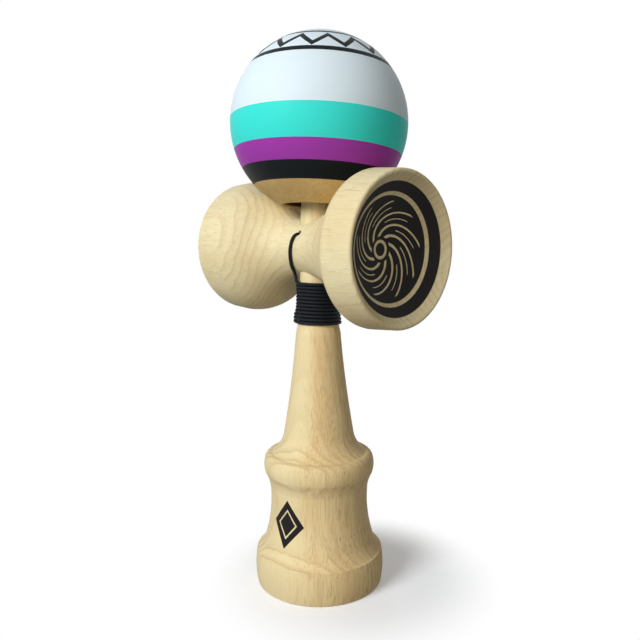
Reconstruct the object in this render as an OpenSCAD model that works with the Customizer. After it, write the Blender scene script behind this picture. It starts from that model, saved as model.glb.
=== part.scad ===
// Kendama: a turned ken, a cross piece with two cups, a ball on the spike,
// and one string that is anchored in the ken, wound under the cups and led up to the ball.
// The ken stands on its foot at z = 0 and its axis is Z. The cups lie along X, the big one at +X.

/* [Foot] */
// Diameter of the foot at its lower edge
foot_d = 45; // [42:0.5:48]
// Diameter of the foot at its upper edge
foot_top_d = 45.2; // [42:0.2:48]
// Height of the foot's side
foot_h = 11.6; // [8:0.2:14]
// How far the foot's side bows out
foot_bow = 0.55; // [0.2:0.05:1]
// Radius of the foot's lower edge
foot_round = 0.5; // [0.3:0.1:1.5]
// Bevel of the foot's upper edge
foot_bevel = 0.6; // [0.3:0.1:1.2]
// Diameter of the base cup under the foot
base_cup_d = 36; // [30:0.5:38]
// Depth of the base cup
base_cup_depth = 6.5; // [5:0.25:9]

/* [Handle] */
// Height of the cone from the foot up to the grip
foot_cone_h = 3.8; // [3:0.1:6]
// How far that cone draws in
foot_cone_hollow = 0.2; // [0.1:0.05:0.5]
// Diameter at the lower end of the grip
grip_d = 39.2; // [38:0.2:41]
// Height of the grip
grip_h = 19.7; // [17:0.1:24]
// How far the grip draws in between its ends
grip_hollow = 1; // [0.6:0.1:1.4]
// Diameter at the upper end of the grip
grip_top_d = 35; // [34:0.1:36.5]
// Height of the slope under the collar
under_h = 4.8; // [3.5:0.1:6]
// How far that slope draws in
under_hollow = 0.2; // [0.1:0.05:0.5]
// Diameter of the collar at its lower edge
collar_d = 38.4; // [36:0.2:42]
// Diameter of the collar at its upper edge
collar_top_d = 38.8; // [37:0.2:42]
// Height of the collar's band
collar_h = 4.9; // [4:0.1:7]
// How far the collar's band bows out
collar_bow = 0.35; // [0.1:0.05:0.6]
// Height of the rounded shoulder over the collar
shoulder_h = 2.2; // [1.8:0.1:3]
// How far the shoulder bows out
shoulder_bow = 0.65; // [0.4:0.05:0.8]
// Diameter at the top of the shoulder
cove_d = 33.6; // [32:0.2:35]
// Height of the cove over the shoulder
cove_h = 7.8; // [6.5:0.1:9]
// How far the cove draws in
cove_hollow = 1; // [0.6:0.05:1.3]
// Diameter at the lower end of the long cone
cone_d = 24.6; // [23:0.2:26]
// Height of the long cone
cone_h = 35; // [30:0.2:40]
// How far the long cone draws in
cone_hollow = 0.4; // [0.1:0.05:0.8]

/* [Neck and spike] */
// Diameter at the lower end of the neck
neck_d = 15.7; // [14.5:0.1:17]
// Height of the neck, where the string is wound
neck_h = 18.5; // [17:0.5:22]
// How far the neck draws in between its ends
neck_hollow = 0.75; // [0.4:0.05:0.9]
// Diameter of the stem at the top of the neck
stem_d = 12.6; // [11.6:0.1:13.2]
// Height of the stem, which passes through the cross piece
stem_h = 22; // [21.5:0.1:24]
// Diameter of the spike at its root
spike_d = 11.8; // [10.4:0.1:12]
// Height of the spike up to its round tip
spike_h = 25; // [22:0.5:26]
// How far the spike's side bows out
spike_bow = 0.4; // [0.1:0.05:0.8]
// Diameter of the spike's round tip
tip_d = 5.4; // [4:0.2:7]

/* [Cross piece] */
// Height of the cups' axis over the top of the neck
sarado_rise = 10.95; // [10.75:0.05:11.6]
// Diameter of the waist between the cups
waist_d = 19.8; // [19.2:0.1:20.4]
// How far the waist's middle lies toward the small cup
waist_shift = 2.7; // [2:0.1:3]
// Distance from the ken's axis to the lip of either cup
cup_reach = 38.8; // [37.8:0.2:42]
// Radius of the rounded lips
lip_r = 0.9; // [0.6:0.05:1.1]
// Diameter of the big cup at its shoulder
big_d = 50.9; // [49.8:0.1:51.5]
// Diameter of the big cup at its lip
big_lip_d = 49.7; // [47:0.1:50.4]
// Depth of the big cup's bowl
big_bowl_depth = 10; // [8:0.25:12]
// Radius of the big cup's flare
big_flare_r = 41.5; // [40:0.5:43]
// Angle at which the big cup's flare leaves the waist
big_flare_start = 4; // [3:0.5:4.5]
// Angle of the big cup's flare at its end
big_flare_angle = 49; // [47:0.5:50]
// Radius of the big cup's shoulder
big_shoulder_r = 3.6; // [3:0.1:5]
// Diameter of the small cup at its shoulder
small_d = 47.7; // [47:0.1:48.6]
// Diameter of the small cup at its lip
small_lip_d = 47; // [45.4:0.1:47.4]
// Depth of the small cup's bowl
small_bowl_depth = 9.6; // [8:0.2:12]
// Radius of the small cup's flare
small_flare_r = 20.5; // [19.5:0.5:21.5]
// Angle of the small cup's flare at its end
small_flare_angle = 45; // [43:0.5:46]
// Radius of the small cup's shoulder
small_shoulder_r = 17.5; // [16:0.5:18.5]
// Radial clearance of the stem in its bore
stem_fit = 0.06; // [0.03:0.01:0.15]

/* [Ball] */
// Diameter of the ball
tama_d = 60; // [58:0.5:62]
// Gap between the ball and the cups that it rests on
tama_seat_gap = 0.3; // [0.3:0.01:0.6]
// How far the ball sits off the ken's axis, toward +Y
tama_shift = 0.9; // [0:0.1:1]
// Lean of the ball's axis
tama_lean = 5.2; // [0:0.1:6]
// Direction of that lean, from +X
tama_lean_azimuth = 105; // [90:1:120]
// Diameter of the hole for the spike
tama_hole_d = 23; // [21.5:0.1:24]
// Depth of that hole, from the ball's lowest point
tama_hole_depth = 40.5; // [39:0.5:43]
// Bevel around that hole
tama_hole_bevel = 0.4; // [0.2:0.1:0.8]
// Diameter of the string hole at the top
tama_string_hole_d = 3; // [2.4:0.1:3.4]
// Diameter of the bevelled mouth of the string hole
tama_mouth_d = 6.6; // [5.6:0.1:8]
// Depth of that mouth
tama_mouth_depth = 1.8; // [1.4:0.1:2.6]
// Diameter of the bead inside the ball
bead_d = 8.4; // [7.5:0.1:9.4]
// Diameter of the bead's bore
bead_bore_d = 1.8; // [1.5:0.1:2.2]
// Gap between the bead and the end of the hole
bead_gap = 0.1; // [0.05:0.05:0.4]

/* [String] */
// Diameter of the string
string_d = 1.15; // [0.9:0.05:1.3]
// Diameter of the string as it is drawn on the neck, with its turns kept apart
wound_d = 0.78; // [0.6:0.02:0.8]
// Whole loops wound on the neck
winding_loops = 11; // [8:1:11]
// Height from the first turn to the last
winding_h = 14; // [13.9:0.1:15]
// Depth of the first turn below the top of the neck
winding_drop = 1.05; // [1:0.05:1.2]
// Gap between the turns and the neck
winding_lift = 0.15; // [0.1:0.01:0.2]
// Diameter of the stopper knots
knot_d = 3; // [2.4:0.1:3.2]
// Distance from the ken's axis to the seat of its knot
knot_seat = 3.2; // [2.8:0.1:3.6]
// Diameter of the pocket for that knot
knot_pocket_d = 3.6; // [3.4:0.1:4.2]
// Diameter of the string hole in the ken
ken_hole_d = 1.5; // [1.4:0.1:2]
// Diameter of the string hole in the cross piece
sarado_hole_d = 2; // [1.6:0.1:2.6]
// Tilt of the string holes above level
string_hole_tilt = 31; // [28:1:34]
// Depth under the waist's surface at which the string starts to bend
string_sink = 0.2; // [0.1:0.05:0.5]

/* [Hidden] */

// Facets of turned surfaces, steps of an arc, and steps of the string between two points of its route
$fn = 120;
arc_steps = 16;
bowl_steps = 24;
route_steps = 2;
// One overrun for all cuts
overrun = 1;
// Clearance between a knot and its seat
knot_gap = 0.05;
// Gap between the string's end on the ball and the stretch that leads to it
string_end_gap = 0.3;
// Angles at which the winding starts and ends, from +X
winding_start_angle = 246;
winding_end_angle = 450;
// Rings of a loop and sides of the drawn string
loop_rings = 24;
wound_sides = 6;
string_sides = 8;

// Heights along the ken
foot_top_z = foot_h + foot_bevel;
grip_z = foot_top_z + foot_cone_h;
under_z = grip_z + grip_h;
collar_z = under_z + under_h;
shoulder_z = collar_z + collar_h;
cove_z = shoulder_z + shoulder_h;
cone_z = cove_z + cove_h;
neck_z = cone_z + cone_h;
stem_z = neck_z + neck_h;
spike_z = stem_z + stem_h;
tip_z = spike_z + spike_h;
sarado_z = stem_z + sarado_rise;

// Points of an arc from p to q, without p, that bulges to the right of its way by sag
function bow(p, q, sag) =
    let (
        chord = norm(q - p),
        half = chord / 2,
        way = (q - p) / chord,
        out = [way[1], -way[0]] * sign(sag),
        bulge = abs(sag),
        r = (half * half + bulge * bulge) / (2 * bulge)
    )
    [for (k = [1:arc_steps])
        let (x = chord * k / arc_steps)
        p + way * x + out * (sqrt(r * r - (x - half) * (x - half)) - r + bulge)];

// Sagitta of a quarter round of radius r
function quarter_sag(r) = r * (1 - cos(45));

// Radius of the ball that cuts a bowl of the given rim radius and depth
function bowl_r(rim, depth) = (rim * rim + depth * depth) / (2 * depth);

// Points of a bowl from its rim to its middle, as [distance from the axis, depth below the rim]
function bowl(rim, depth) =
    let (r = bowl_r(rim, depth), rim_angle = asin(rim / r))
    [for (k = [0:bowl_steps])
        let (a = rim_angle * (1 - k / bowl_steps))
        [r * sin(a), r * cos(a) - r + depth]];

// Radius of the neck and of the stem at height z
function neck_r(z) =
    let (share = (z - neck_z) / neck_h)
    (neck_d + (stem_d - neck_d) * share) / 2 - 4 * neck_hollow * share * (1 - share);
function stem_r(z) = (stem_d + (spike_d - stem_d) * (z - stem_z) / stem_h) / 2;

function ken_outline() =
    let (
        under = [for (p = bowl(base_cup_d / 2, base_cup_depth)) p],
        foot_ring = [foot_d / 2 - foot_round, 0],
        foot_low = [foot_d / 2, foot_round],
        foot_high = [foot_top_d / 2, foot_h],
        foot_top = [foot_top_d / 2 - foot_bevel, foot_top_z],
        grip_low = [grip_d / 2, grip_z],
        grip_high = [grip_top_d / 2, under_z],
        collar_low = [collar_d / 2, collar_z],
        collar_high = [collar_top_d / 2, shoulder_z],
        cove_low = [cove_d / 2, cove_z],
        cone_low = [cone_d / 2, cone_z],
        neck_low = [neck_d / 2, neck_z],
        neck = [for (k = [1:arc_steps])
            let (z = neck_z + neck_h * k / arc_steps) [neck_r(z), z]],
        spike_low = [spike_d / 2, spike_z],
        tip_low = [tip_d / 2, tip_z],
        tip = [0, tip_z + tip_d / 2]
    )
    concat(
        [for (k = [bowl_steps:-1:0]) under[k]],
        [foot_ring], bow(foot_ring, foot_low, quarter_sag(foot_round)),
        bow(foot_low, foot_high, foot_bow),
        bow(foot_high, foot_top, quarter_sag(foot_bevel)),
        bow(foot_top, grip_low, -foot_cone_hollow),
        bow(grip_low, grip_high, -grip_hollow),
        bow(grip_high, collar_low, -under_hollow),
        bow(collar_low, collar_high, collar_bow),
        bow(collar_high, cove_low, shoulder_bow),
        bow(cove_low, cone_low, -cove_hollow),
        bow(cone_low, neck_low, -cone_hollow),
        neck, [spike_low],
        bow(spike_low, tip_low, spike_bow),
        bow(tip_low, tip, quarter_sag(tip_d / 2))
    );

// Outline of one cup from the middle of the waist, as [distance along the cup, radius]
function cup_flare(waist_at, flare_r, flare_start, flare_angle) =
    [for (k = [0:arc_steps])
        let (a = flare_start + (flare_angle - flare_start) * k / arc_steps)
        [waist_at + flare_r * (sin(a) - sin(flare_start)),
            waist_d / 2 + flare_r * (cos(flare_start) - cos(a))]];

function cup_shoulder(flare_end, flare_angle, shoulder_r, cup_d) =
    let (
        start_r = cup_d / 2 - shoulder_r * (1 - cos(flare_angle)),
        start_at = flare_end[0] + (start_r - flare_end[1]) / tan(flare_angle),
        middle = start_at + shoulder_r * sin(flare_angle)
    )
    [for (k = [0:arc_steps])
        let (a = flare_angle * (1 - k / arc_steps))
        [middle - shoulder_r * sin(a), cup_d / 2 - shoulder_r * (1 - cos(a))]];

// The lip turns through lip_turn degrees, from the outside of the cup into its bowl
lip_turn = 140;
function cup_lip(lip_d) =
    [for (k = [0:arc_steps])
        let (a = 90 - lip_turn * k / arc_steps)
        [cup_reach - lip_r + lip_r * cos(a), lip_d / 2 - lip_r + lip_r * sin(a)]];

function cup_bowl(rim, depth) =
    [for (p = bowl(rim[1], depth)) [rim[0] - p[1], p[0]]];

function cup_outline(waist_at, flare_r, flare_start, flare_angle, shoulder_r, cup_d, lip_d, depth) =
    let (
        flare = cup_flare(waist_at, flare_r, flare_start, flare_angle),
        lip = cup_lip(lip_d),
        inside = cup_bowl(lip[arc_steps], depth)
    )
    concat(
        flare, cup_shoulder(flare[arc_steps], flare_angle, shoulder_r, cup_d), lip,
        [for (k = [1:bowl_steps]) inside[k]]
    );

big_outline = cup_outline(-waist_shift, big_flare_r, big_flare_start, big_flare_angle,
    big_shoulder_r, big_d, big_lip_d, big_bowl_depth);
small_outline = cup_outline(waist_shift, small_flare_r, 0, small_flare_angle,
    small_shoulder_r, small_d, small_lip_d, small_bowl_depth);

// The ball rests on both cups: its middle lies as high as the nearer of all their points puts it
tama_r = tama_d / 2;
seat_reach = tama_r + tama_seat_gap;
tama_seat = max([for (p = concat(big_outline, small_outline))
    if (abs(p[0]) < seat_reach) p[1] + sqrt(seat_reach * seat_reach - p[0] * p[0])]);
tama_middle = [0, tama_shift, sarado_z + sqrt(tama_seat * tama_seat - tama_shift * tama_shift)];
tama_axis = [
    sin(tama_lean) * cos(tama_lean_azimuth),
    sin(tama_lean) * sin(tama_lean_azimuth),
    cos(tama_lean)
];
// Places along the ball's axis, from its middle
tama_hole_end = tama_hole_depth - tama_r;
tama_hole_rim = sqrt(tama_r * tama_r - tama_hole_d * tama_hole_d / 4);
bead_at = tama_hole_end - bead_gap - bead_d / 2;
bead_edge = sqrt(bead_d * bead_d - bead_bore_d * bead_bore_d) / 2;
tama_knot_at = bead_at - bead_edge - knot_gap - sqrt(knot_d * knot_d - bead_bore_d * bead_bore_d) / 2;
string_mouth = tama_r - tama_mouth_depth - string_d;

// The anchor runs along the string holes, from the knot's middle to its end near the waist's surface
hole_way = [0, -cos(string_hole_tilt), sin(string_hole_tilt)];
anchor_knot_at = -knot_seat - knot_gap - knot_d / 2;
anchor_end_at = waist_d / 2 - string_sink;
anchor_end = [0, 0, sarado_z] + hole_way * anchor_end_at;

// Middle line of the winding, with one straight string's width at each end
winding_turn = 360 * winding_loops + winding_end_angle - winding_start_angle;
winding_rings = round(loop_rings * winding_turn / 360);
winding_top = stem_z - winding_drop;
function winding_at(k) =
    let (
        share = k / winding_rings,
        a = winding_start_angle + winding_turn * share,
        z = winding_top - winding_h * share,
        r = neck_r(z) + winding_lift + wound_d / 2
    )
    [r * cos(a), r * sin(a), z];
function level_way(a) = [-sin(a), cos(a), 0];
winding_turns_path = [for (k = [0:winding_rings]) winding_at(k)];
winding_start = winding_turns_path[0] - level_way(winding_start_angle) * wound_d;
winding_end = winding_turns_path[winding_rings] + level_way(winding_end_angle) * wound_d;
winding_path = concat([winding_start], winding_turns_path, [winding_end]);

// Least gap between two turns, measured between points at least half a loop apart
winding_gap = min([for (i = [0:winding_rings], j = [i + loop_rings / 2:1:winding_rings])
    norm(winding_turns_path[i] - winding_turns_path[j])]) - wound_d;
echo(winding_gap = winding_gap);  // string_winding

// Route of the string from its hole over the waist and down to the winding
lead_route = [
    [-0.1, -8.94, 125.26], [-0.5, -9.31, 125.44], [-1.05, -9.53, 125.13], [-1.6, -9.79, 124.41],
    [-1.95, -10.16, 123.35], [-2.3, -10.56, 121.71], [-2.7, -10.69, 119.48], [-3.1, -10.34, 117.08],
    [-3.65, -9.47, 114.82], [-4.15, -8.47, 113.23], [-4.55, -7.35, 111.97], [-4.8, -6.75, 110.8],
    [-4.95, -6.3, 109.7], [-4.85, -5.9, 108.75], [-4.4, -5.62, 108.1]
];
// Route of the string from the winding up behind the waist and over the back of the ball
riser_route = [
    [-3.2, 8.1, 94.4], [-4.1, 8.6, 95.5], [-4.5, 9.1, 97.4], [-4.7, 9.6, 100.9],
    [-4.9, 10, 105.9], [-5.2, 10.5, 110.9], [-5.5, 11, 115.9], [-5.8, 11.5, 120.4],
    [-8, 13.2, 125.6], [-11.2, 16.1, 132.6], [-14.3, 18.9, 139.3], [-17.4, 21.5, 146.2],
    [-18.9, 23.4, 151.7], [-19.7, 24.4, 157.4], [-19.8, 24.5, 163.5], [-19.2, 23.8, 169.4],
    [-17.9, 22.2, 174.9], [-15.9, 19.8, 180], [-13.3, 16.7, 184.4], [-10.2, 13.1, 187.9],
    [-7.2, 9.7, 190.1], [-4.6, 7.1, 191.4], [-2.6, 5.3, 191.8], [-1.6, 4.4, 191.5],
    [-0.9, 3.7, 190.8]
];

function unit(v) = v / norm(v);

// Catmull-Rom curve through all points
function route_point(p, i, u) =
    let (
        last = len(p) - 1,
        a = p[max(i - 1, 0)],
        b = p[i],
        c = p[min(i + 1, last)],
        d = p[min(i + 2, last)]
    )
    (2 * b + (c - a) * u + (2 * a - 5 * b + 4 * c - d) * u * u
        + (3 * b - a - 3 * c + d) * u * u * u) / 2;
function smooth(p) = concat(
    [for (i = [0:len(p) - 2], k = [0:route_steps - 1]) route_point(p, i, k / route_steps)],
    [p[len(p) - 1]]
);

// Ways along a path, square to its two ends
function ways(p, first, last) = [for (i = [0:len(p) - 1])
    i == 0 ? first : i == len(p) - 1 ? last : unit(p[i + 1] - p[i - 1])];

// A side direction for each ring, carried along the path without twist
function sides(w, n) = [
    for (i = 0, u = unit(cross(w[0], [w[0][2], w[0][0], w[0][1]])); i < n;
        i = i + 1, u = unit(u - (u * w[min(i, n - 1)]) * w[min(i, n - 1)])) u
];

module tube(path, d, count, first, last) {
    n = len(path);
    w = ways(path, first, last);
    u = sides(w, n);
    rings = [for (i = [0:n - 1], k = [0:count - 1])
        let (a = 360 * k / count)
        path[i] + (u[i] * cos(a) + cross(w[i], u[i]) * sin(a)) * d / 2];
    wall = [for (i = [0:n - 2], k = [0:count - 1], half = [0, 1])
        let (
            here = i * count + k,
            beside = i * count + (k + 1) % count
        )
        half == 0 ? [here, here + count, beside] : [beside, here + count, beside + count]];
    end = (n - 1) * count;
    caps = [for (k = [1:count - 2], half = [0, 1])
        half == 0 ? [0, k, k + 1] : [end, end + k + 1, end + k]];
    polyhedron(rings, concat(wall, caps));
}

module along_string_hole(from, to) {
    translate([0, 0, sarado_z]) rotate([90 - string_hole_tilt, 0, 0])
        translate([0, 0, from]) cylinder(h = to - from, d = $hole_d);
}

module in_tama() {
    translate(tama_middle) rotate([0, tama_lean, tama_lean_azimuth]) children();
}

module ken() {
    color([0.91, 0.81, 0.62]) difference() {
        rotate_extrude() polygon(ken_outline());
        along_string_hole(-knot_seat - overrun, stem_d, $hole_d = ken_hole_d);
        along_string_hole(-stem_d, -knot_seat, $hole_d = knot_pocket_d);
    }
}

module sarado() {
    outline = concat(
        [for (k = [len(small_outline) - 1:-1:1]) [small_outline[k][1], -small_outline[k][0]]],
        [for (p = big_outline) [p[1], p[0]]]
    );
    bore_from = stem_z - overrun;
    bore_to = spike_z + overrun;
    color([0.92, 0.83, 0.65]) difference() {
        translate([0, 0, sarado_z]) rotate([0, 90, 0]) rotate_extrude() polygon(outline);
        translate([0, 0, bore_from]) cylinder(h = bore_to - bore_from,
            r1 = stem_r(bore_from) + stem_fit, r2 = stem_r(bore_to) + stem_fit);
        along_string_hole(0, waist_d, $hole_d = sarado_hole_d);
    }
}

module tama() {
    hole_r = tama_hole_d / 2;
    color([0.88, 0.92, 0.95]) in_tama() difference() {
        sphere(d = tama_d);
        translate([0, 0, -tama_r]) cylinder(h = tama_hole_depth, d = tama_hole_d);
        translate([0, 0, -tama_hole_rim - tama_hole_bevel]) cylinder(h = 2 * tama_hole_bevel,
            r1 = hole_r + 2 * tama_hole_bevel, r2 = hole_r);
        translate([0, 0, tama_hole_end - overrun])
            cylinder(h = tama_r - tama_hole_end + 2 * overrun, d = tama_string_hole_d);
        translate([0, 0, tama_r - tama_mouth_depth]) cylinder(h = tama_mouth_depth,
            d1 = tama_string_hole_d, d2 = tama_mouth_d);
    }
}

module tama_bead() {
    color([0.85, 0.73, 0.53]) in_tama() translate([0, 0, bead_at]) difference() {
        sphere(d = bead_d);
        cylinder(h = bead_d + overrun, d = bead_bore_d, center = true);
    }
}

module string_anchor() {
    color([0.08, 0.09, 0.1]) union() {
        along_string_hole(anchor_knot_at, anchor_end_at, $hole_d = string_d);
        translate([0, 0, sarado_z] + hole_way * anchor_knot_at) sphere(d = knot_d);
    }
}

module string_lead() {
    last_way = level_way(winding_start_angle);
    points = concat([anchor_end], lead_route, [winding_start]);
    color([0.08, 0.09, 0.1]) tube(smooth(points), string_d, string_sides, hole_way, last_way);
}

module string_winding() {
    color([0.1, 0.11, 0.13]) tube(winding_path, wound_d, wound_sides,
        level_way(winding_start_angle), level_way(winding_end_angle));
}

module string_riser() {
    first_way = level_way(winding_end_angle);
    points = concat(
        [winding_end, winding_end + first_way * string_d], riser_route,
        [tama_middle + tama_axis * (string_mouth + string_d), tama_middle + tama_axis * string_mouth]
    );
    color([0.08, 0.09, 0.1]) tube(smooth(points), string_d, string_sides, first_way, -tama_axis);
}

module string_tama_end() {
    color([0.08, 0.09, 0.1]) in_tama() union() {
        translate([0, 0, tama_knot_at])
            cylinder(h = string_mouth - string_end_gap - tama_knot_at, d = string_d);
        translate([0, 0, tama_knot_at]) sphere(d = knot_d);
    }
}

ken();
sarado();
tama();
tama_bead();
string_anchor();
string_lead();
string_winding();
string_riser();
string_tama_end();
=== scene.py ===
"""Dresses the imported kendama: beech, painted ball, printed cup and braided string, in a plain studio."""
import math

import bpy
import numpy as np
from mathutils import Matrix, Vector


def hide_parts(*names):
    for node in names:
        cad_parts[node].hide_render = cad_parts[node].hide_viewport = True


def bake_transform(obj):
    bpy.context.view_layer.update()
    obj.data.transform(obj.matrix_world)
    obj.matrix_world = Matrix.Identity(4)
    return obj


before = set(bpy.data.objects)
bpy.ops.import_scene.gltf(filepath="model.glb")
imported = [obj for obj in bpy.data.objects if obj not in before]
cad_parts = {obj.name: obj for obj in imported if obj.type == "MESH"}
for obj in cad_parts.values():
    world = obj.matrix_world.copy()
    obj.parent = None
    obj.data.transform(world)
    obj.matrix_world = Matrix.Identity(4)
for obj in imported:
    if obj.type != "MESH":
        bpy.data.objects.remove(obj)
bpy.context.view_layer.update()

# The scene is in metres, and MM brings the part's millimetres there.
# The string's routes and all that the materials measure are in millimetres.
MM = 0.001

# Places of the part
SARADO_Z = 119.85 * MM
TAMA_MIDDLE = Vector((0, 0.9 * MM, 161.436 * MM))
TAMA_AXIS = Vector((-0.023457, 0.087544, 0.995884))

# Camera, found from the photograph: 240 mm from the ken's axis and a little above the cups
CAMERA_AT = (173.8 * MM, -165.5 * MM, 126.56 * MM)
CAMERA_AZIMUTH = math.radians(46.22)
CAMERA_DOWN = math.radians(7.56)
CAMERA_ROLL = math.radians(0.27)
CAMERA_LENS = 38.81
CAMERA_SENSOR = 36
CAMERA_CLIP = 0.01


def add_camera():
    data = bpy.data.cameras.new("camera")
    data.lens = CAMERA_LENS
    data.sensor_width = CAMERA_SENSOR
    data.clip_start = CAMERA_CLIP
    camera = bpy.data.objects.new("camera", data)
    camera.location = CAMERA_AT
    camera.rotation_euler = (math.radians(90) - CAMERA_DOWN, CAMERA_ROLL, CAMERA_AZIMUTH)
    bpy.context.collection.objects.link(camera)
    bpy.context.scene.camera = camera


STRING_D = 1.15 * MM
# Around the waist: distance from the cross piece's axis, angle above level, place along the axis
WAIST_ROUTE = [
    (8.25, 31.6, 0.12), (9.13, 31, -0.01), (9.88, 29.1, -0.39), (10.375, 26.4, -0.95),
    (10.55, 23, -1.5), (10.53, 17, -1.95), (10.49, 10, -2.3), (10.48, -2, -2.7),
    (10.49, -15, -3.1), (10.51, -28, -3.65), (10.54, -38, -4.15), (10.58, -47, -4.55),
]
# From the waist down to the winding
NECK_ROUTE = [
    (-4.6, -6.72, 111.2), (-4.56, -6.27, 110.2), (-4.24, -6.36, 109.08), (-3.47, -6.71, 108.23),
    (-2.38, -7.03, 107.9),
]
# From the winding up behind the cups and round the ball to its string hole
RISER_ROUTE = [
    (-1.9, 7.75, 93.9), (-3.2, 8.1, 94.4), (-4.1, 8.6, 95.5), (-4.5, 9.1, 97.4),
    (-4.7, 9.6, 100.9), (-4.9, 10, 105.9), (-5.2, 10.5, 110.9), (-5.5, 11, 115.9),
    (-5.8, 11.5, 120.4), (-8, 13.2, 125.6), (-11.2, 16.1, 132.6), (-14.3, 18.9, 139.3),
    (-17.4, 21.5, 146.2), (-18.9, 23.4, 151.7), (-19.7, 24.4, 157.4), (-19.8, 24.5, 163.5),
    (-19.2, 23.8, 169.4), (-17.9, 22.2, 174.9), (-15.9, 19.8, 180), (-13.3, 16.7, 184.4),
    (-10.2, 13.1, 187.9), (-7.2, 9.7, 190.1), (-4.6, 7.1, 191.35), (-3.3, 5.87, 191.72),
    (-2.33, 4.95, 191.8), (-1.5, 4.16, 191.49), (-0.88, 3.58, 190.65),
]
# Where the string ends in the string hole, along the ball's axis from its middle
MOUTH_AT = 27.05 * MM
# The winding, from its top down: its height, and the angle at which it starts and that it turns through
WINDING_TOP = 107.85 * MM
WINDING_H = 14 * MM
WINDING_START = 246
WINDING_TURN = 360 * 11 + 204
POINTS_PER_TURN = 24
# The neck under the winding: its foot, height, radius below and above, and how far it is hollowed
NECK_Z = 90.4 * MM
NECK_H = 18.5 * MM
NECK_R = (7.85 * MM, 6.3 * MM)
NECK_HOLLOW = 0.75 * MM
# The turns lie over the string's tucked stretch and stand out on its side, the low ones most
TUCK = (0.32 * MM, 0.55 * MM)
TUCK_SIDE = math.radians(226)
BULGE = 0.42 * MM
BULGE_ROUND = 0.3
BULGE_Z = (93.4 * MM, 95.4 * MM, 96.8 * MM, 99.2 * MM)
# The braid: diamonds around the string, their length along it and their height
BRAID_AROUND = 5
BRAID_LENGTH = 1.5 * MM
BRAID_HEIGHT = 0.035
# How finely the string is cut: steps between two points of its route, along it, and sides around it
CURVE_STEPS = 24
STRING_STEP = 0.2 * MM
STRING_SIDES = 20


def smoothstep(low, high, value):
    t = np.clip((value - low) / (high - low), 0, 1)
    return t * t * (3 - 2 * t)


def neck_r(z):
    share = (z - NECK_Z) / NECK_H
    return NECK_R[0] + (NECK_R[1] - NECK_R[0]) * share - 4 * NECK_HOLLOW * share * (1 - share)


def winding_points():
    steps = round(POINTS_PER_TURN * WINDING_TURN / 360)
    points = []
    for k in range(1, steps + 1):
        angle = math.radians(WINDING_START + WINDING_TURN * k / steps)
        z = WINDING_TOP - WINDING_H * k / steps
        side = max(0, math.cos(angle - TUCK_SIDE)) ** 2
        tuck = TUCK[1] + (TUCK[0] - TUCK[1]) * k / steps
        bulge = BULGE * float(smoothstep(*BULGE_Z[:2], z) * (1 - smoothstep(*BULGE_Z[2:], z)))
        radius = neck_r(z) + STRING_D / 2 + tuck * side + bulge * (BULGE_ROUND + (1 - BULGE_ROUND) * side)
        points.append((radius * math.cos(angle), radius * math.sin(angle), z))
    return points


def string_points():
    waist = []
    for distance, tilt, x in WAIST_ROUTE:
        angle = math.radians(tilt)
        waist.append((x * MM, -distance * math.cos(angle) * MM, SARADO_Z + distance * math.sin(angle) * MM))
    neck = [tuple(Vector(p) * MM) for p in NECK_ROUTE]
    riser = [tuple(Vector(p) * MM) for p in RISER_ROUTE]
    end = [tuple(TAMA_MIDDLE + TAMA_AXIS * at) for at in (MOUTH_AT + STRING_D, MOUTH_AT)]
    return waist + neck + winding_points() + riser + end


def smooth_path(points, step):
    """A Catmull-Rom curve through the points, cut into equal steps, and the way along it to each cut."""
    p = np.array(points)
    p = np.vstack([2 * p[0] - p[1], p, 2 * p[-1] - p[-2]])
    a, b, c, d = (p[k:len(p) - 3 + k, None] for k in range(4))
    u = np.linspace(0, 1, CURVE_STEPS, endpoint=False)[None, :, None]
    curve = (2 * b + (c - a) * u + (2 * a - 5 * b + 4 * c - d) * u ** 2
             + (3 * b - a - 3 * c + d) * u ** 3) / 2
    curve = np.vstack([curve.reshape(-1, 3), p[-2]])
    along = np.concatenate([[0], np.cumsum(np.linalg.norm(np.diff(curve, axis=0), axis=1))])
    places = np.linspace(0, along[-1], round(along[-1] / step) + 1)
    return np.stack([np.interp(places, along, curve[:, k]) for k in range(3)], axis=1), places


def mesh_object(name, vertices, faces, smooth=True):
    mesh = bpy.data.meshes.new(name)
    mesh.from_pydata([tuple(v) for v in vertices], [], faces)
    mesh.validate()
    mesh.polygons.foreach_set("use_smooth", [smooth] * len(mesh.polygons))
    piece = bpy.data.objects.new(name, mesh)
    bpy.context.collection.objects.link(piece)
    return piece


def braided_tube(name, path, places, diameter):
    """A tube along the path whose surface swells and sinks in the diamonds of a braid."""
    ways = np.gradient(path, axis=0)
    ways /= np.linalg.norm(ways, axis=1)[:, None]
    side = np.cross(ways[0], (0, 0, 1))
    sides = []
    for way in ways:
        side = side - way * side.dot(way)
        side /= np.linalg.norm(side)
        sides.append(side)
    sides = np.array(sides)
    across = np.cross(ways, sides)
    angle = np.linspace(0, 2 * np.pi, STRING_SIDES, endpoint=False)
    turn = 2 * np.pi * places[:, None] / BRAID_LENGTH
    braid = np.cos(BRAID_AROUND * angle + turn) * np.cos(BRAID_AROUND * angle - turn)
    radius = diameter / 2 * (1 - BRAID_HEIGHT + BRAID_HEIGHT * braid)
    rings = path[:, None] + radius[:, :, None] * (
        np.cos(angle)[None, :, None] * sides[:, None] + np.sin(angle)[None, :, None] * across[:, None])
    count = len(path)
    faces = []
    for i in range(count - 1):
        here = i * STRING_SIDES
        above = here + STRING_SIDES
        for k in range(STRING_SIDES):
            n = (k + 1) % STRING_SIDES
            faces.append((here + k, here + n, above + n, above + k))
    faces.append(tuple(reversed(range(STRING_SIDES))))
    faces.append(tuple(range((count - 1) * STRING_SIDES, count * STRING_SIDES)))
    return mesh_object(name, rings.reshape(-1, 3), faces)


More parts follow.
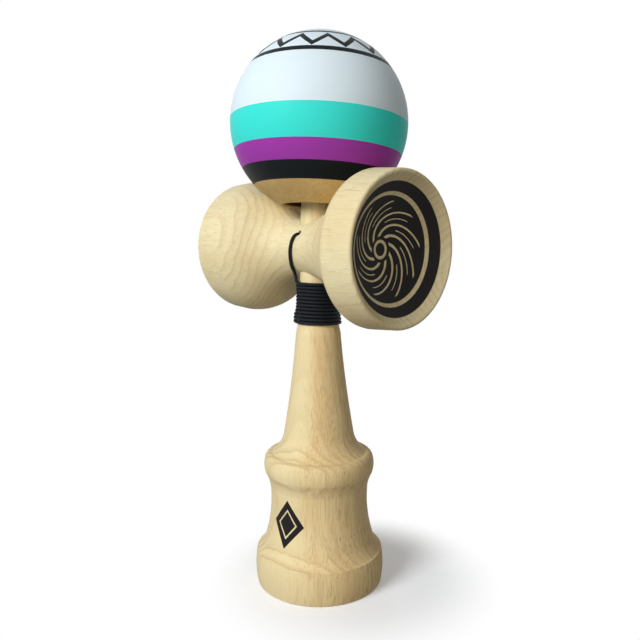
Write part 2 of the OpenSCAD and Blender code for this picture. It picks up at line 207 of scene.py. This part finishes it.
class Shader:
    """Builds one material's nodes with short calls. A value is a number, a tuple or a node's socket."""

    def __init__(self, name):
        self.material = bpy.data.materials.new(name)
        self.material.use_nodes = True
        self.tree = self.material.node_tree
        self.surface = self.tree.nodes["Principled BSDF"]

    def put(self, value, socket):
        if isinstance(value, bpy.types.NodeSocket):
            self.tree.links.new(value, socket)
        else:
            socket.default_value = value

    def node(self, kind, **settings):
        made = self.tree.nodes.new(kind)
        for key, value in settings.items():
            setattr(made, key, value)
        return made

    def place(self):
        """The point on the piece, in millimetres of the part's frame."""
        return self.vector("SCALE", self.node("ShaderNodeTexCoord").outputs["Object"], scale=1 / MM)

    def vector(self, operation, a, b=(0, 0, 0), scale=1.0):
        made = self.node("ShaderNodeVectorMath", operation=operation)
        self.put(a, made.inputs[0])
        if operation == "SCALE":
            self.put(scale, made.inputs["Scale"])
        elif operation != "LENGTH":
            self.put(b, made.inputs[1])
        return made.outputs["Value" if operation in ("DOT_PRODUCT", "LENGTH") else "Vector"]

    def math(self, operation, a, b=0.0, c=0.0):
        made = self.node("ShaderNodeMath", operation=operation)
        for value, socket in zip((a, b, c), made.inputs):
            self.put(value, socket)
        return made.outputs[0]

    def parts(self, vector):
        made = self.node("ShaderNodeSeparateXYZ")
        self.put(vector, made.inputs[0])
        return made.outputs[0], made.outputs[1], made.outputs[2]

    def join(self, x, y, z):
        made = self.node("ShaderNodeCombineXYZ")
        for value, socket in zip((x, y, z), made.inputs):
            self.put(value, socket)
        return made.outputs[0]

    def noise(self, vector, scale=1.0, detail=2.0, roughness=0.5):
        made = self.node("ShaderNodeTexNoise")
        self.put(vector, made.inputs["Vector"])
        made.inputs["Scale"].default_value = scale
        made.inputs["Detail"].default_value = detail
        made.inputs["Roughness"].default_value = roughness
        return made.outputs["Fac"]

    def fade(self, value, low, high, to_low=0.0, to_high=1.0):
        """Goes smoothly from to_low to to_high as the value goes from low to high."""
        made = self.node("ShaderNodeMapRange", interpolation_type="SMOOTHSTEP")
        for v, name in ((value, "Value"), (low, "From Min"), (high, "From Max"),
                        (to_low, "To Min"), (to_high, "To Max")):
            self.put(v, made.inputs[name])
        return made.outputs["Result"]

    def below(self, value, limit, edge):
        """1 where the value is below the limit, with a soft edge."""
        return self.fade(value, limit - edge, limit + edge, 1.0, 0.0)

    def band(self, value, low, high, edge):
        """1 between low and high, with soft edges."""
        return self.both(self.fade(value, low - edge, low + edge), self.below(value, high, edge))

    def mix(self, share, a, b):
        made = self.node("ShaderNodeMix", data_type="RGBA")
        self.put(share, made.inputs["Factor"])
        for value, socket in ((a, made.inputs[6]), (b, made.inputs[7])):
            self.put((*value, 1) if isinstance(value, tuple) and len(value) == 3 else value, socket)
        return made.outputs[2]

    def both(self, a, b):
        return self.math("MULTIPLY", a, b)

    def bump(self, height, strength, distance):
        made = self.node("ShaderNodeBump")
        made.inputs["Strength"].default_value = strength
        made.inputs["Distance"].default_value = distance
        self.put(height, made.inputs["Height"])
        self.put(made.outputs[0], self.surface.inputs["Normal"])

    def finish(self, colour, roughness, specular):
        self.put(colour, self.surface.inputs["Base Color"])
        self.put(roughness, self.surface.inputs["Roughness"])
        self.surface.inputs["Specular IOR Level"].default_value = specular
        return self.material


# Beech as linear colours: pale wood, darker wood, latewood lines and brown flecks
BEECH_LIGHT = (0.87, 0.69, 0.37)
BEECH_DARK = (0.74, 0.52, 0.24)
BEECH_LINE = (0.55, 0.38, 0.19)
BEECH_FLECK = (0.34, 0.20, 0.09)
# Painted lightening: the paler colour of the ken's side that the light falls on
BEECH_LIT_PALE = (0.85, 0.73, 0.43)
SARADO_LIGHT = (0.86, 0.77, 0.48)
SARADO_DARK = (0.79, 0.64, 0.36)
# Width of a year's ring, and how far its line wanders widely and ripples finely
RING_MM = 2.2
WANDER_MM = 8.0
RIPPLE_MM = 0.5
# Noise in the wood, as its rate across and along the fibres
WANDER_RATE = (0.045, 0.012)
RIPPLE_RATE = (0.5, 0.05)
LIT_SIDE_RATE = (0.2, 0.03)
BROAD_RATE = (0.06, 0.015)
NARROW_RATE = (0.7, 0.03)
FIBRE_RATE = (7.0, 0.4)
STREAK_RATE = (1.7, 0.09)
FLECK_RATE = (2.8, 0.15)
PATCH_RATE = (0.1, 0.02)
YEAR_RATE = 0.73
# How a noise or a measure turns into a share: between which values, and the share at each of them
LATE_RISE = (0.3, 0.9, 0.0, 0.55)
LATE_FALL = (0.92, 1.0, 1.0, 0.0)
BOLD_SHARE = (0.3, 0.7, 0.3, 1.0)
LIT_SIDE_SHARE = (0.35, 0.85, 1.0, 0.2)
BROAD_SHARE = (0.4, 0.66, 0.0, 0.6)
NARROW_SHARE = (0.42, 0.72, 0.0, 0.5)
FIBRE_SHARE = (0.5, 0.75, 0.0, 0.16)
PATCH_SHARE = (0.4, 0.62, 0.15, 1.0)
STREAK_FROM_TO = (0.46, 0.68)
FLECK_FROM_TO = (0.57, 0.70)
# The sharp line at the end of a year, as a band of its width with a soft edge
LATE_LINE = (0.82, 0.9, 0.05)
# Cut at a slant, as told by the normal along the fibres, rings show more and flecks less
SLANT_FROM_TO = (0.15, 0.45)
RINGS_ADDED = 2
FLECKS_LOST = 0.75
LIT_SIDE_WAVER = 0.6
FIBRE_HEIGHT = 0.5
WOOD_ROUGHNESS = 0.58
WOOD_SPECULAR = 0.12
# Strength and depth in metres of the wood's and the paint's relief
WOOD_BUMP = (0.10, 0.0002)
PAINT_BUMP = (0.04, 0.0002)


def beech(s, grain, pith, seed=0.0, light=BEECH_LIGHT, dark=BEECH_DARK,
          rings=0.3, streaks=0.42, flecks=0.55, plain=None):
    """Colour and height of turned beech. grain picks the axis that the fibres follow, and pith is the
    middle of the growth rings in the two other axes, in millimetres. seed shifts the pattern along the
    fibres, and rings, streaks and flecks say how much of each shows. The side that faces plain, a
    direction in those two axes, has few streaks and flecks and is painted paler, as the light falls on it."""
    xyz = s.parts(s.place())
    w = s.math("ADD", xyz["XYZ".index(grain)], seed)
    across = [xyz[k] for k in range(3) if "XYZ"[k] != grain]
    u, v = [s.math("SUBTRACT", value, middle) for value, middle in zip(across, pith)]

    def fibrous(rate, detail=2.0, roughness=0.5):
        stretched = s.join(s.math("MULTIPLY", u, rate[0]), s.math("MULTIPLY", v, rate[0]),
                           s.math("MULTIPLY", w, rate[1]))
        return s.noise(stretched, detail=detail, roughness=roughness)

    radius = s.vector("LENGTH", s.join(u, v, 0.0))
    radius = s.math("MULTIPLY_ADD", fibrous(WANDER_RATE), WANDER_MM, radius)
    radius = s.math("MULTIPLY_ADD", fibrous(RIPPLE_RATE), RIPPLE_MM, radius)
    year = s.math("DIVIDE", radius, RING_MM)
    phase = s.math("FRACT", year)
    late = s.both(s.fade(phase, *LATE_RISE), s.fade(phase, *LATE_FALL))
    late = s.math("MAXIMUM", late, s.band(phase, *LATE_LINE))
    facing = s.parts(s.node("ShaderNodeTexCoord").outputs["Normal"])["XYZ".index(grain)]
    slant = s.fade(s.math("ABSOLUTE", facing), *SLANT_FROM_TO)
    ring_share = s.math("MULTIPLY_ADD", slant, RINGS_ADDED * rings, rings)
    each_year = s.noise(s.join(s.math("FLOOR", year), 0.0, 0.0), scale=YEAR_RATE, detail=0.0)
    boldness = s.fade(each_year, *BOLD_SHARE)
    figure_away_from_light = 1.0
    # Painted lightening: the side that faces plain is paler, as the light falls on it, with few streaks and
    # flecks
    if plain:
        side = s.vector("DOT_PRODUCT", s.vector("NORMALIZE", s.join(*across, 0.0)), (*plain, 0.0))
        figure_away_from_light = s.fade(s.math("MULTIPLY_ADD", fibrous(LIT_SIDE_RATE), LIT_SIDE_WAVER, side), *LIT_SIDE_SHARE)
        light = s.mix(figure_away_from_light, BEECH_LIT_PALE, light)
        dark = s.mix(figure_away_from_light, BEECH_LIT_PALE, dark)
    colour = s.mix(s.fade(fibrous(BROAD_RATE), *BROAD_SHARE), light, dark)
    colour = s.mix(s.fade(fibrous(NARROW_RATE, 3.0, 0.6), *NARROW_SHARE), colour, dark)
    colour = s.mix(s.both(s.both(late, boldness), ring_share), colour, BEECH_LINE)
    fine = fibrous(FIBRE_RATE, 2.0, 0.6)
    colour = s.mix(s.fade(fine, *FIBRE_SHARE), colour, BEECH_LINE)
    streak = s.fade(fibrous(STREAK_RATE, 2.0, 0.6), *STREAK_FROM_TO, 0.0, streaks)
    colour = s.mix(s.both(streak, figure_away_from_light), colour, BEECH_LINE)
    fleck = s.fade(fibrous(FLECK_RATE, 1.0), *FLECK_FROM_TO)
    fleck = s.both(fleck, s.fade(fibrous(PATCH_RATE), *PATCH_SHARE))
    fleck = s.both(fleck, s.math("MULTIPLY_ADD", slant, -FLECKS_LOST, 1.0))
    colour = s.mix(s.both(s.both(fleck, flecks), figure_away_from_light), colour, BEECH_FLECK)
    return colour, s.math("SUBTRACT", s.math("MULTIPLY", fine, FIBRE_HEIGHT), fleck)


KEN_PITH = (-17.0, 58.0)
# The ken's side toward the light, which is painted paler
KEN_LIT_SIDE = (-0.69, -0.72)
PRINT_BLACK = (0.010, 0.009, 0.009)
# A plain printed diamond on the grip's front: its middle, its half width and height, how far back it may
# reach, and the line inside it, as shares of its size with a soft edge
MARK_X = 2.2
MARK_Z = 25.6
MARK_HALF = (6.4, 8.4)
MARK_EDGE = 0.02
MARK_BACK = (-4.0, -3.0, 1.0, 0.0)
MARK_LINE = (0.52, 0.62, 0.02)
# The neck under the winding is painted black, a painted shade that fills the gaps between the string's
# turns
WINDING_SHADE_BAND = (94.3, 107.5, 0.2)
WINDING_SHADE = (0.008, 0.008, 0.009)


def ken_material():
    s = Shader("ken_beech")
    colour, height = beech(s, "Z", KEN_PITH, plain=KEN_LIT_SIDE)
    x, y, z = s.parts(s.place())
    aside = s.math("DIVIDE", s.math("ABSOLUTE", s.math("SUBTRACT", x, MARK_X)), MARK_HALF[0])
    above = s.math("DIVIDE", s.math("ABSOLUTE", s.math("SUBTRACT", z, MARK_Z)), MARK_HALF[1])
    reach = s.math("ADD", aside, above)
    mark = s.both(s.below(reach, 1.0, MARK_EDGE), s.fade(y, *MARK_BACK))
    mark = s.both(mark, s.math("SUBTRACT", 1.0, s.band(reach, *MARK_LINE)))
    # Painted shade: the neck under the winding is painted black between the string's turns
    colour = s.mix(s.band(z, *WINDING_SHADE_BAND), s.mix(mark, colour, PRINT_BLACK), WINDING_SHADE)
    s.bump(height, *WOOD_BUMP)
    return s.finish(colour, WOOD_ROUGHNESS, WOOD_SPECULAR)


# The print in the big cup, in millimetres from its middle: a ring, and a disc with curved rays left bare,
# long and short in turn, around a bare circle
PRINT_FLOOR_X = 27.0
PRINT_START = 0.5
PRINT_RING = (18.0, 21.1)
PRINT_DISC = 16.8
PRINT_EDGE = 0.1
RAYS = 9
RAY_CURVE = 0.05
RAY_HALF = 0.6
RAY_EDGE = 0.08
RAY_REACH = (4.2, 15.2, 0.15)
SHORT_RAY_REACH = (8.5, 13.2, 0.15)
CIRCLE = (2.1, 3.1, 0.08)


def cup_print(s):
    x, y, z = s.parts(s.place())
    z = s.math("SUBTRACT", z, SARADO_Z / MM)
    far = s.vector("LENGTH", s.join(y, z, 0.0))
    turn = s.math("DIVIDE", s.math("ARCTAN2", z, y), 2 * math.pi)
    turn = s.math("MULTIPLY_ADD", far, RAY_CURVE / 2, turn)
    width = s.math("MULTIPLY", far, 2 * math.pi / RAYS)

    def ray(shift, half, reach):
        phase = s.math("FRACT", s.math("MULTIPLY_ADD", turn, float(RAYS), shift))
        off = s.both(s.math("ABSOLUTE", s.math("SUBTRACT", phase, 0.5)), width)
        return s.both(s.below(off, half, RAY_EDGE), s.band(far, *reach))

    bare = s.math("MAXIMUM", ray(0.0, RAY_HALF, RAY_REACH), ray(0.5, RAY_HALF / 2, SHORT_RAY_REACH))
    bare = s.math("MAXIMUM", bare, s.band(far, *CIRCLE))
    disc = s.both(s.below(far, PRINT_DISC, PRINT_EDGE), s.math("SUBTRACT", 1.0, bare))
    printed = s.math("MAXIMUM", disc, s.band(far, *PRINT_RING, PRINT_EDGE))
    return s.both(printed, s.fade(x, PRINT_FLOOR_X - PRINT_START, PRINT_FLOOR_X))


SARADO_PITH = (56.0, 104.0)
SARADO_SEED = 230.0


def sarado_material():
    s = Shader("sarado_beech")
    colour, height = beech(s, "X", SARADO_PITH, SARADO_SEED, SARADO_LIGHT, SARADO_DARK,
                           rings=0.2, streaks=0.15, flecks=0.35)
    s.bump(height, *WOOD_BUMP)
    return s.finish(s.mix(cup_print(s), colour, PRINT_BLACK), WOOD_ROUGHNESS, WOOD_SPECULAR)


# The ball's linear colours, and the top of each band from its middle along its axis
PAINT_WHITE = (0.745, 0.87, 0.93)
PAINT_TEAL = (0.05, 0.79, 0.70)
PAINT_PURPLE = (0.36, 0.05, 0.41)
PAINT_BLACK = (0.009, 0.012, 0.014)
BALL_WOOD_LIGHT = (0.74, 0.54, 0.235)
BALL_WOOD_DARK = (0.58, 0.37, 0.125)
# Painted shade: the dark brown colour inside the ball's holes
HOLE_SHADE = (0.10, 0.05, 0.018)
TEAL_TOP = 0.4
PURPLE_TOP = -9.95
BLACK_TOP = -16.1
WOOD_TOP = -21.3
BAND_EDGE = 0.08
# Nearer to the ball's middle than this, the surface is inside one of its holes, which are painted dark as
# shade
SHADED_INSIDE = (29.0, 29.4, 1.0, 0.0)
BALL_PITH = (-30.0, 45.0)
BALL_SEED = 80.0
BALL_ROUGHNESS = 0.45
BALL_SPECULAR = 0.06
# A zigzag between two lines around the ball's top
ZIGZAGS = 14
ZIGZAG = (19.6, 23.6)
ZIGZAG_HALF = 0.95
TOP_LINES = ((16.9, 18.5), (24.9, 25.8))


def top_ornament(s, point, along):
    side = Vector((1, 0, 0)).cross(TAMA_AXIS).normalized()
    ahead = TAMA_AXIS.cross(side)
    turn = s.math("ARCTAN2", s.vector("DOT_PRODUCT", point, tuple(side)),
                  s.vector("DOT_PRODUCT", point, tuple(ahead)))
    wave = s.math("PINGPONG", s.math("MULTIPLY", turn, ZIGZAGS / math.pi), 1.0)
    middle = s.math("MULTIPLY_ADD", wave, ZIGZAG[1] - ZIGZAG[0], ZIGZAG[0])
    off = s.math("ABSOLUTE", s.math("SUBTRACT", along, middle))
    ornament = s.below(off, ZIGZAG_HALF, BAND_EDGE)
    for low, high in TOP_LINES:
        ornament = s.math("MAXIMUM", ornament, s.band(along, low, high, BAND_EDGE))
    return ornament


def tama_material():
    s = Shader("tama_paint")
    wood, height = beech(s, "Z", BALL_PITH, BALL_SEED, BALL_WOOD_LIGHT, BALL_WOOD_DARK,
                         rings=0.15, flecks=0.3)
    point = s.vector("SUBTRACT", s.place(), tuple(TAMA_MIDDLE / MM))
    along = s.vector("DOT_PRODUCT", point, tuple(TAMA_AXIS))
    colour = wood
    for top, paint in ((WOOD_TOP, PAINT_BLACK), (BLACK_TOP, PAINT_PURPLE),
                       (PURPLE_TOP, PAINT_TEAL), (TEAL_TOP, PAINT_WHITE)):
        colour = s.mix(s.fade(along, top - BAND_EDGE, top + BAND_EDGE), colour, paint)
    colour = s.mix(top_ornament(s, point, along), colour, PAINT_BLACK)
    # Painted shade: inside the holes the colour goes to dark brown
    shaded_inside = s.fade(s.vector("LENGTH", point), *SHADED_INSIDE)
    s.bump(height, *PAINT_BUMP)
    return s.finish(s.mix(shaded_inside, colour, HOLE_SHADE), BALL_ROUGHNESS, BALL_SPECULAR)


BEAD_SEED = 40.0
BEAD_ROUGHNESS = 0.6
BEAD_SPECULAR = 0.3


def bead_material():
    s = Shader("bead_wood")
    colour, height = beech(s, "Z", BALL_PITH, seed=BEAD_SEED)
    s.bump(height, *WOOD_BUMP)
    return s.finish(colour, BEAD_ROUGHNESS, BEAD_SPECULAR)


# The string's yarn: its linear colours, the rate of its noise, and what of that noise is dark and light
YARN_DARK = (0.004, 0.005, 0.007)
YARN_LIGHT = (0.013, 0.016, 0.021)
YARN_RATE = 14.0
YARN_FROM_TO = (0.35, 0.75)
YARN_BUMP = (0.3, 0.0001)
YARN_ROUGHNESS = 0.6
YARN_SPECULAR = 0.15


def string_material():
    s = Shader("string_braid")
    yarn = s.noise(s.place(), scale=YARN_RATE, detail=3.0, roughness=0.7)
    colour = s.mix(s.fade(yarn, *YARN_FROM_TO), YARN_DARK, YARN_LIGHT)
    s.bump(yarn, *YARN_BUMP)
    return s.finish(colour, YARN_ROUGHNESS, YARN_SPECULAR)


def dress(node, material):
    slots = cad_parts[node].data.materials
    slots.clear()
    slots.append(material)


def add_string(material):
    path, places = smooth_path(string_points(), STRING_STEP)
    string = braided_tube("string", path, places, STRING_D)
    string.data.materials.append(material)
    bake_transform(string)
    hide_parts("string_lead", "string_winding", "string_riser")


# The floor: half its width, where its soft shadow is, in millimetres, and over which distance from there it
# runs into white, the share of white that it shows in full shadow, its tint in the shadow, and its own grey
FLOOR_HALF = 1.5
SHADOW_MIDDLE = (8.3, 8.7, 0)
SHADOW_FADE = (25.0, 55.0)
FLOOR_GLOW = 0.185
FLOOR_SHADE = (0.96, 0.98, 1.0)
FLOOR_GREY = (0.15, 0.15, 0.15)
FLOOR_ROUGHNESS = 0.9
FLOOR_SPECULAR = 0.1
BLACK = (0.0, 0.0, 0.0)


def add_floor():
    """A white floor that keeps the soft shadow near the foot and runs into the white background."""
    corners = [(x * FLOOR_HALF, y * FLOOR_HALF, 0) for x, y in ((-1, -1), (1, -1), (1, 1), (-1, 1))]
    floor = mesh_object("floor", corners, [(0, 1, 2, 3)], False)
    s = Shader("floor_white")
    s.finish((*FLOOR_GREY, 1), FLOOR_ROUGHNESS, FLOOR_SPECULAR)
    far = s.fade(s.vector("LENGTH", s.vector("SUBTRACT", s.place(), SHADOW_MIDDLE)), *SHADOW_FADE)
    glow = s.node("ShaderNodeEmission")
    s.put(s.math("MULTIPLY_ADD", far, 1 - FLOOR_GLOW, FLOOR_GLOW), glow.inputs["Strength"])
    shaded = s.node("ShaderNodeBsdfDiffuse")
    s.put(s.mix(far, FLOOR_SHADE, BLACK), shaded.inputs["Color"])
    seen = s.node("ShaderNodeAddShader")
    s.put(glow.outputs[0], seen.inputs[0])
    s.put(shaded.outputs[0], seen.inputs[1])
    rays = s.node("ShaderNodeLightPath")
    looked_at = s.math("MAXIMUM", rays.outputs["Is Camera Ray"], rays.outputs["Is Glossy Ray"])
    looked_at = s.math("MAXIMUM", looked_at, rays.outputs["Is Transmission Ray"])
    either = s.node("ShaderNodeMixShader")
    s.put(looked_at, either.inputs[0])
    s.put(s.surface.outputs[0], either.inputs[1])
    s.put(seen.outputs[0], either.inputs[2])
    s.put(either.outputs[0], s.tree.nodes["Material Output"].inputs["Surface"])
    floor.data.materials.append(s.material)


# Light of the world on the part; where the world itself is seen it is white
WORLD_LEVEL = 0.16


def add_world():
    world = bpy.data.worlds.new("studio")
    world.use_nodes = True
    nodes = world.node_tree.nodes
    links = world.node_tree.links
    back = nodes["Background"]
    back.inputs["Color"].default_value = (1, 1, 1, 1)
    rays = nodes.new("ShaderNodeLightPath")
    level = nodes.new("ShaderNodeMapRange")
    level.inputs["To Min"].default_value = WORLD_LEVEL
    level.inputs["To Max"].default_value = 1.0
    seen = nodes.new("ShaderNodeMath")
    seen.operation = "MAXIMUM"
    links.new(rays.outputs["Is Camera Ray"], seen.inputs[0])
    links.new(rays.outputs["Is Glossy Ray"], seen.inputs[1])
    through = nodes.new("ShaderNodeMath")
    through.operation = "MAXIMUM"
    links.new(seen.outputs[0], through.inputs[0])
    links.new(rays.outputs["Is Transmission Ray"], through.inputs[1])
    links.new(through.outputs[0], level.inputs["Value"])
    links.new(level.outputs["Result"], back.inputs["Strength"])
    bpy.context.scene.world = world


# The lamps are discs that look at the part's middle. Each has its place from there, in metres to the
# camera's right, toward the camera and up, its diameter, power and colour.
LAMPS_LOOK_AT = Vector((0, 0, 0.1))
KEY = ((-0.655, 0.65, 0.44), 0.5, 8.7, (0.99, 1.0, 1.02))
FILL = ((0.12, 0.95, 0.08), 0.4, 1.75, (1.0, 0.92, 0.78))
BACK = ((0.0, -1.0, 0.0), 0.4, 3.0, (1.0, 1.0, 1.0))


def area_light(name, place, size, power, colour):
    right = Vector((math.cos(CAMERA_AZIMUTH), math.sin(CAMERA_AZIMUTH), 0))
    toward_camera = Vector((math.sin(CAMERA_AZIMUTH), -math.cos(CAMERA_AZIMUTH), 0))
    up = Vector((0, 0, 1))
    at = LAMPS_LOOK_AT + right * place[0] + toward_camera * place[1] + up * place[2]
    data = bpy.data.lights.new(name, "AREA")
    data.shape = "DISK"
    data.size = size
    data.energy = power
    data.color = colour
    lamp = bpy.data.objects.new(name, data)
    lamp.location = at
    lamp.rotation_euler = (LAMPS_LOOK_AT - at).to_track_quat("-Z", "Y").to_euler()
    bpy.context.collection.objects.link(lamp)
    return lamp


def add_lights():
    """One large soft key from the left, above and in front, a weak low and warm fill beside the camera,
    and a low back light, so that the part is also seen from behind."""
    area_light("key", *KEY)
    area_light("fill", *FILL)
    back = area_light("back", *BACK)
    back.visible_glossy = False


add_camera()
string_black = string_material()
add_string(string_black)
dress("ken", ken_material())
dress("sarado", sarado_material())
dress("tama", tama_material())
dress("tama_bead", bead_material())
dress("string_anchor", string_black)
dress("string_tama_end", string_black)
add_floor()
add_world()
add_lights()
bpy.context.scene.view_settings.view_transform = "Standard"
